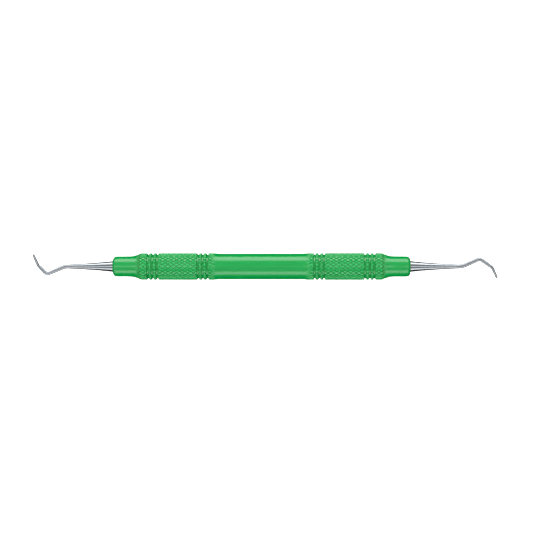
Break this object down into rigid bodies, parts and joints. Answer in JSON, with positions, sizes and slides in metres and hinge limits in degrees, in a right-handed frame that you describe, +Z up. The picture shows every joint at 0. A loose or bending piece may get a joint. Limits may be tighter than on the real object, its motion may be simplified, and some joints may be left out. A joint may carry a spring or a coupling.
{
  "type": "double-ended dental hand instrument",
  "caption": "Double-ended dental hand instrument: a straight knurled resin handle with a contra-angled steel shank and short blade at each end.",
  "frame": {"origin": "the middle of the handle, on its axis", "axes": "+X along the handle from the left tip to the right tip, +Z up as it lies, and both tips bend in the XY plane"},
  "size_m": [0.166, 0.0094, 0.0094],
  "materials": {
    "handle_resin": "moulded, satin gloss",
    "polished_steel": "polished stainless",
    "inner_steel": "drawn and turned",
    "seal_resin": "cured, smooth"
  },
  "bodies": {
    "root": {"handle": "handle_resin", "core_tube": "inner_steel", "left_bush": "inner_steel", "right_bush": "inner_steel", "left_tip": "polished_steel", "right_tip": "polished_steel", "left_seal": "seal_resin", "right_seal": "seal_resin"}
  },
  "joints": []
}
